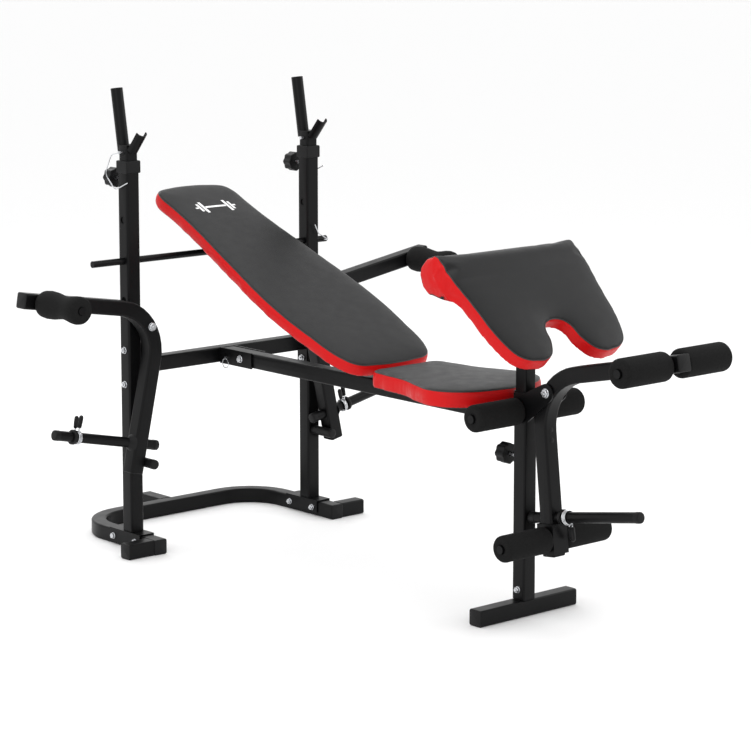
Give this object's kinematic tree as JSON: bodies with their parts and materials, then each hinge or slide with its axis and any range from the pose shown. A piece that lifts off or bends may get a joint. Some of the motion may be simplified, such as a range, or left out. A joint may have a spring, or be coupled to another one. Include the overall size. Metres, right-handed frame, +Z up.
{
  "type": "adjustable weight bench",
  "caption": "Weight bench with bar rack, reclining padded backrest, seat, arm-curl pad, leg developer with foam rollers and swing arms with foam grips.",
  "frame": {"origin": "on the floor, under the centre of the whole bench's box", "axes": "+X to the right of someone lying on the bench and looking up at the rack end, +Y along the bench from the leg developer to the rack, +Z up"},
  "size_m": [1.2782, 1.898, 1.137],
  "materials": {
    "steel": "satin black powder coat",
    "zinc": "bright zinc plated",
    "plastic": "matte black",
    "foam": "matte closed-cell foam",
    "vinyl": "grained black vinyl top with red sides"
  },
  "bodies": {
    "bench_frame": {"base_u_tube": "steel", "left_foot_bar": "steel", "right_foot_bar": "steel", "rear_foot_bar": "steel", "left_saddle": "steel", "right_saddle": "steel", "left_upright": "steel", "right_upright": "steel", "left_upright_collar": "plastic", "right_upright_collar": "plastic", "crossbar": "steel", "rail_bracket": "steel", "bench_rail": "steel", "rail_bolt": "zinc", "front_post": "steel", "front_foot_bar": "steel", "backrest_hinge_bracket": "steel", "backrest_hinge_bolt": "zinc", "seat_pad": "vinyl", "left_post_axle": "steel", "right_post_axle": "steel", "left_pivot_plate": "steel", "right_pivot_plate": "steel", "leg_pivot_bolt": "zinc", "left_arm_pivot": "zinc", "right_arm_pivot": "zinc", "left_arm_stop": "plastic", "right_arm_stop": "plastic"},
    "left_catch": {"left_catch": "steel"},
    "right_catch": {"right_catch": "steel"},
    "left_hitch_pin": {"left_hitch_pin": "zinc"},
    "right_hitch_pin": {"right_hitch_pin": "zinc"},
    "left_catch_knob": {"left_catch_knob": "plastic"},
    "right_catch_knob": {"right_catch_knob": "plastic"},
    "post_knob": {"post_knob": "plastic"},
    "support_rod": {"support_rod": "steel", "rod_clip": "zinc"},
    "ring_pin": {"ring_pin": "zinc"},
    "backrest": {"backrest_pad": "vinyl", "backrest_frame": "steel"},
    "preacher": {"preacher_pad": "vinyl", "preacher_post": "steel"},
    "leg_developer": {"leg_tube": "steel", "leg_peg": "steel", "leg_sleeve": "steel", "lower_axle": "steel", "curl_axle": "steel"},
    "left_arm": {"left_arm": "steel"},
    "right_arm": {"right_arm": "steel"},
    "left_post_roller": {"left_post_roller": "foam"},
    "right_post_roller": {"right_post_roller": "foam"},
    "left_lower_roller": {"left_lower_roller": "foam"},
    "right_lower_roller": {"right_lower_roller": "foam"},
    "left_curl_roller": {"left_curl_roller": "foam"},
    "right_curl_roller": {"right_curl_roller": "foam"},
    "left_arm_grip": {"left_arm_grip": "foam"},
    "right_arm_grip": {"right_arm_grip": "foam"},
    "left_spring_collar": {"left_spring_collar": "zinc"},
    "right_spring_collar": {"right_spring_collar": "zinc"},
    "leg_spring_collar": {"leg_spring_collar": "zinc"}
  },
  "joints": [
    {"name": "left_catch_height", "type": "slide", "parent": "bench_frame", "child": "left_catch", "axis": [0, 0, 1], "range_m": [0, 0.15]},
    {"name": "left_hitch_pin_pull", "type": "slide", "parent": "left_catch", "child": "left_hitch_pin", "axis": [-1, 0, 0], "range_m": [0, 0.06]},
    {"name": "left_catch_knob_turn", "type": "hinge", "parent": "bench_frame", "child": "left_catch_knob", "pos_m": [-0.2846, 0.634, 0.916], "axis": [0, 1, 0], "range_deg": [0, 720]},
    {"name": "right_catch_height", "type": "slide", "parent": "bench_frame", "child": "right_catch", "axis": [0, 0, 1], "range_m": [0, 0.15]},
    {"name": "right_hitch_pin_pull", "type": "slide", "parent": "right_catch", "child": "right_hitch_pin", "axis": [1, 0, 0], "range_m": [0, 0.06]},
    {"name": "right_catch_knob_turn", "type": "hinge", "parent": "bench_frame", "child": "right_catch_knob", "pos_m": [0.2846, 0.634, 0.916], "axis": [0, 1, 0], "range_deg": [0, 720]},
    {"name": "post_knob_turn", "type": "hinge", "parent": "bench_frame", "child": "post_knob", "pos_m": [0, -0.4558, 0.363], "axis": [0, 1, 0], "range_deg": [0, 720]},
    {"name": "support_rod_pull", "type": "slide", "parent": "bench_frame", "child": "support_rod", "axis": [1, 0, 0], "range_m": [0, 0.72]},
    {"name": "ring_pin_pull", "type": "slide", "parent": "bench_frame", "child": "ring_pin", "axis": [-1, 0, 0], "range_m": [0, 0.06]},
    {"name": "backrest_recline", "type": "hinge", "parent": "bench_frame", "child": "backrest", "pos_m": [0, -0.022, 0.484], "axis": [1, 0, 0], "range_deg": [0, 50]},
    {"name": "preacher_height", "type": "slide", "parent": "bench_frame", "child": "preacher", "axis": [0, 0, 1], "range_m": [0, 0.1]},
    {"name": "leg_developer_swing", "type": "hinge", "parent": "bench_frame", "child": "leg_developer", "pos_m": [0, -0.5615, 0.5225], "axis": [-1, 0, 0], "range_deg": [0, 55]},
    {"name": "left_arm_swing", "type": "hinge", "parent": "bench_frame", "child": "left_arm", "pos_m": [-0.2725, 0.563, 0.56], "axis": [0, 1, 0], "range_deg": [0, 75]},
    {"name": "right_arm_swing", "type": "hinge", "parent": "bench_frame", "child": "right_arm", "pos_m": [0.2725, 0.563, 0.56], "axis": [0, -1, 0], "range_deg": [0, 75]},
    {"name": "left_arm_grip_spin", "type": "hinge", "parent": "left_arm", "child": "left_arm_grip", "pos_m": [-0.585, 0.541, 0.649], "axis": [0, -1, 0], "continuous": true},
    {"name": "left_post_roller_spin", "type": "hinge", "parent": "bench_frame", "child": "left_post_roller", "pos_m": [-0.09, -0.4748, 0.47], "axis": [1, 0, 0], "continuous": true},
    {"name": "left_lower_roller_spin", "type": "hinge", "parent": "leg_developer", "child": "left_lower_roller", "pos_m": [-0.09, -0.567, 0.194], "axis": [1, 0, 0], "continuous": true},
    {"name": "left_curl_roller_spin", "type": "hinge", "parent": "leg_developer", "child": "left_curl_roller", "pos_m": [-0.09, -0.91, 0.63], "axis": [1, 0, 0], "continuous": true},
    {"name": "right_arm_grip_spin", "type": "hinge", "parent": "right_arm", "child": "right_arm_grip", "pos_m": [0.585, 0.541, 0.649], "axis": [0, -1, 0], "continuous": true},
    {"name": "right_post_roller_spin", "type": "hinge", "parent": "bench_frame", "child": "right_post_roller", "pos_m": [0.09, -0.4748, 0.47], "axis": [1, 0, 0], "continuous": true},
    {"name": "right_lower_roller_spin", "type": "hinge", "parent": "leg_developer", "child": "right_lower_roller", "pos_m": [0.09, -0.567, 0.194], "axis": [1, 0, 0], "continuous": true},
    {"name": "right_curl_roller_spin", "type": "hinge", "parent": "leg_developer", "child": "right_curl_roller", "pos_m": [0.09, -0.91, 0.63], "axis": [1, 0, 0], "continuous": true},
    {"name": "left_spring_collar_slide", "type": "slide", "parent": "left_arm", "child": "left_spring_collar", "axis": [-0.977, 0, 0.213], "range_m": [-0.125, 0.09]},
    {"name": "right_spring_collar_slide", "type": "slide", "parent": "right_arm", "child": "right_spring_collar", "axis": [0.977, 0, 0.213], "range_m": [0, 0.22]},
    {"name": "leg_spring_collar_slide", "type": "slide", "parent": "leg_developer", "child": "leg_spring_collar", "axis": [0, -0.9848, 0.1736], "range_m": [0, 0.25]}
  ]
}
